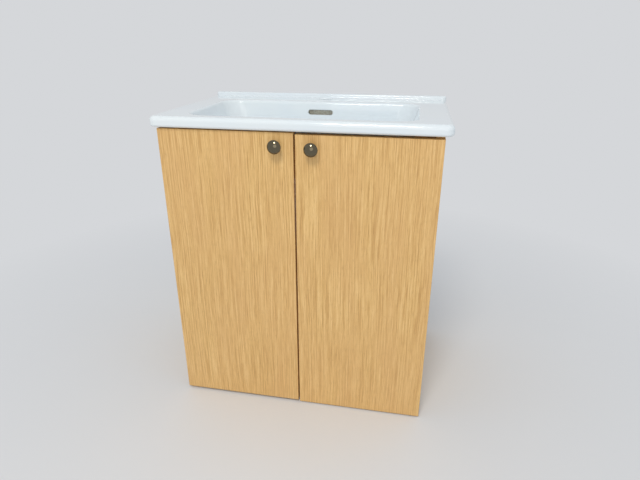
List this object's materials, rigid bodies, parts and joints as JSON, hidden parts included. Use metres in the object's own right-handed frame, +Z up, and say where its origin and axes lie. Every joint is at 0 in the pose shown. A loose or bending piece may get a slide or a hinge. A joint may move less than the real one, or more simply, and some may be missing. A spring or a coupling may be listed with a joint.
{
  "type": "bathroom vanity unit",
  "caption": "Floor-standing two-door bathroom vanity unit: light oak cabinet with concealed hinges and round knobs under a white ceramic basin with an upstand.",
  "frame": {"origin": "on the floor, under the middle of the unit's outer box", "axes": "+X to the right seen from the front, +Y from the doors to the wall, +Z up"},
  "size_m": [0.632, 0.426, 0.72],
  "materials": {
    "glazed_ceramic": "gloss glaze",
    "oak_door": "satin lacquered oak veneer",
    "oak_board": "satin oak-faced board",
    "polished_chrome": "polished",
    "nickel_steel": "nickel plated",
    "zinc_screws": "zinc plated",
    "glide_plastic": "matt",
    "bumper_plastic": "soft clear"
  },
  "bodies": {
    "root": {"basin": "glazed_ceramic", "left_side_panel": "oak_board", "right_side_panel": "oak_board", "bottom_panel": "oak_board", "plinth_rail": "oak_board", "front_rail": "oak_board", "rear_top_rail": "oak_board", "rear_lower_rail": "oak_board", "shelf": "oak_board", "shelf_pins": "zinc_screws", "left_carcase_screws": "zinc_screws", "right_carcase_screws": "zinc_screws", "floor_glides": "glide_plastic", "wall_brackets": "zinc_screws", "bracket_screws": "zinc_screws", "left_hinge_arms": "nickel_steel", "left_arm_pins": "nickel_steel", "left_hinge_plates": "nickel_steel", "left_plate_screws": "zinc_screws", "left_arm_screws": "zinc_screws", "right_hinge_arms": "nickel_steel", "right_arm_pins": "nickel_steel", "right_hinge_plates": "nickel_steel", "right_plate_screws": "zinc_screws", "right_arm_screws": "zinc_screws"},
    "left_short_link_set": {"left_short_links": "nickel_steel"},
    "left_long_link_set": {"left_long_links": "nickel_steel"},
    "left_door_set": {"left_door": "oak_door", "left_knob": "polished_chrome", "left_knob_screw": "zinc_screws", "left_hinge_cups": "nickel_steel", "left_cup_pins": "nickel_steel", "left_cup_screws": "zinc_screws", "left_bumpers": "bumper_plastic"},
    "right_short_link_set": {"right_short_links": "nickel_steel"},
    "right_long_link_set": {"right_long_links": "nickel_steel"},
    "right_door_set": {"right_door": "oak_door", "right_knob": "polished_chrome", "right_knob_screw": "zinc_screws", "right_hinge_cups": "nickel_steel", "right_cup_pins": "nickel_steel", "right_cup_screws": "zinc_screws", "right_bumpers": "bumper_plastic"}
  },
  "joints": [
    {"name": "left_door_swing", "type": "hinge", "parent": "left_short_link_set", "child": "left_door_set", "pos_m": [-0.2875, -0.1742, 0.3], "axis": [0, 0, -1], "range_deg": [0, 138.2]},
    {"name": "left_short_link_turn", "type": "hinge", "parent": "root", "child": "left_short_link_set", "pos_m": [-0.2634, -0.1644, 0.3], "axis": [0, 0, 1], "range_deg": [0, 38.3]},
    {"name": "left_long_link_turn", "type": "hinge", "parent": "root", "child": "left_long_link_set", "pos_m": [-0.259, -0.159, 0.3], "axis": [0, 0, 1], "range_deg": [0, 15.7]},
    {"name": "right_door_swing", "type": "hinge", "parent": "right_short_link_set", "child": "right_door_set", "pos_m": [0.2875, -0.1742, 0.3], "axis": [0, 0, 1], "range_deg": [0, 138.2]},
    {"name": "right_short_link_turn", "type": "hinge", "parent": "root", "child": "right_short_link_set", "pos_m": [0.2634, -0.1644, 0.3], "axis": [0, 0, -1], "range_deg": [0, 38.3]},
    {"name": "right_long_link_turn", "type": "hinge", "parent": "root", "child": "right_long_link_set", "pos_m": [0.259, -0.159, 0.3], "axis": [0, 0, -1], "range_deg": [0, 15.7]}
  ],
  "couplings": [
    {"joint": "left_short_link_turn", "follows": "left_door_swing", "ratio": 0.27641},
    {"joint": "left_long_link_turn", "follows": "left_door_swing", "ratio": 0.11288},
    {"joint": "right_short_link_turn", "follows": "right_door_swing", "ratio": 0.27641},
    {"joint": "right_long_link_turn", "follows": "right_door_swing", "ratio": 0.11288}
  ]
}
